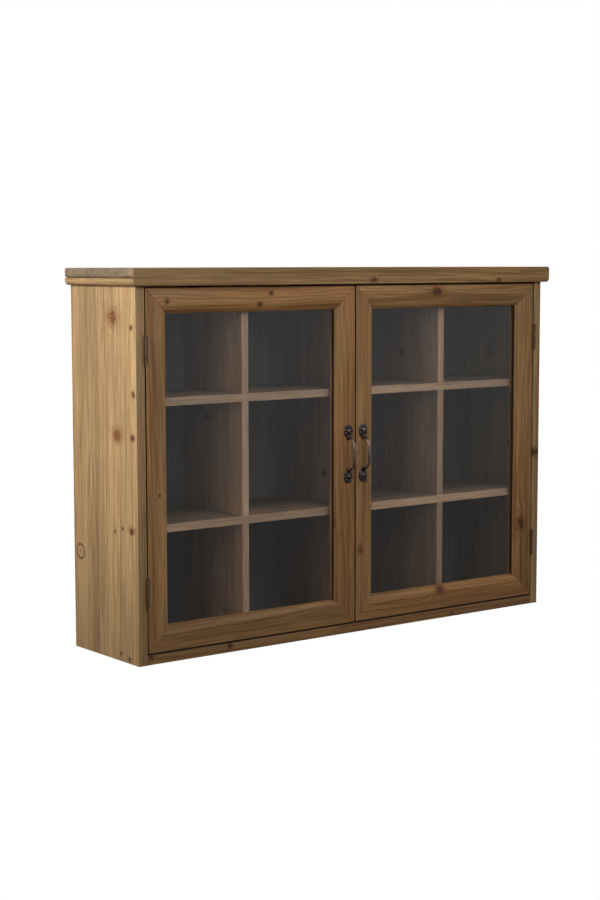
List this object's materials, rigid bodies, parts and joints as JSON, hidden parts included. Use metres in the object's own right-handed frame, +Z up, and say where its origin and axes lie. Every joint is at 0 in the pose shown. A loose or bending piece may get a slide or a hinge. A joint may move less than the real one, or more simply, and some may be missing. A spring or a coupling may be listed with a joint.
{
  "type": "pantry cabinet",
  "caption": "Wide, shallow knotty-pine cabinet with hinged glazed doors over a grid of shelves and dividers, bow pulls and an overhanging cap.",
  "frame": {"origin": "centre of the base, on the surface the cabinet stands on; the carcass front and back are 0.11 m either side of it", "axes": "+X across the front from left to right, +Y from the doors to the back, +Z up"},
  "size_m": [1, 0.2433, 0.698],
  "materials": {
    "pine": "waxed knotty pine, medium brown",
    "inner_pine": "bare planed pine",
    "panel": "thin sheet, bare",
    "glass": "clear float glass",
    "iron": "dark bronze finish",
    "hinge_metal": "bronzed steel",
    "steel": "zinc plated",
    "plastic": "brown moulding"
  },
  "bodies": {
    "carcass": {"back_panel": "panel", "bottom_board": "pine", "cap_fascia": "pine", "cap_strip_left": "pine", "cap_strip_right": "pine", "catch_screws": "steel", "centre_divider": "inner_pine", "divider_left_lower": "inner_pine", "divider_left_middle": "inner_pine", "divider_left_upper": "inner_pine", "divider_right_lower": "inner_pine", "divider_right_middle": "inner_pine", "divider_right_upper": "inner_pine", "frame_leaf_screws": "hinge_metal", "left_catch": "plastic", "left_catch_poles": "steel", "left_frame_leaf_lower": "hinge_metal", "left_frame_leaf_upper": "hinge_metal", "left_hinge_pins": "hinge_metal", "panel_nails": "steel", "right_catch": "plastic", "right_catch_poles": "steel", "right_frame_leaf_lower": "hinge_metal", "right_frame_leaf_upper": "hinge_metal", "right_hinge_pins": "hinge_metal", "shelf_left_lower": "inner_pine", "shelf_left_upper": "inner_pine", "shelf_right_lower": "inner_pine", "shelf_right_upper": "inner_pine", "side_left": "pine", "side_right": "pine", "top_board": "pine", "wall_rail": "inner_pine"},
    "left_door": {"left_bottom_rail": "pine", "left_door_leaf_lower": "hinge_metal", "left_door_leaf_upper": "hinge_metal", "left_glass": "glass", "left_glazing_beads": "pine", "left_hinge_stile": "pine", "left_leaf_screws": "hinge_metal", "left_meeting_stile": "pine", "left_pull": "iron", "left_pull_screws": "iron", "left_strike": "steel", "left_strike_screws": "steel", "left_top_rail": "pine"},
    "right_door": {"right_bottom_rail": "pine", "right_door_leaf_lower": "hinge_metal", "right_door_leaf_upper": "hinge_metal", "right_glass": "glass", "right_glazing_beads": "pine", "right_hinge_stile": "pine", "right_leaf_screws": "hinge_metal", "right_meeting_stile": "pine", "right_pull": "iron", "right_pull_screws": "iron", "right_strike": "steel", "right_strike_screws": "steel", "right_top_rail": "pine"}
  },
  "joints": [
    {"name": "left_door_hinge", "type": "hinge", "parent": "carcass", "child": "left_door", "pos_m": [-0.469, -0.1132, 0.343], "axis": [0, 0, -1], "range_deg": [0, 170]},
    {"name": "right_door_hinge", "type": "hinge", "parent": "carcass", "child": "right_door", "pos_m": [0.469, -0.1132, 0.343], "axis": [0, 0, 1], "range_deg": [0, 170]}
  ]
}
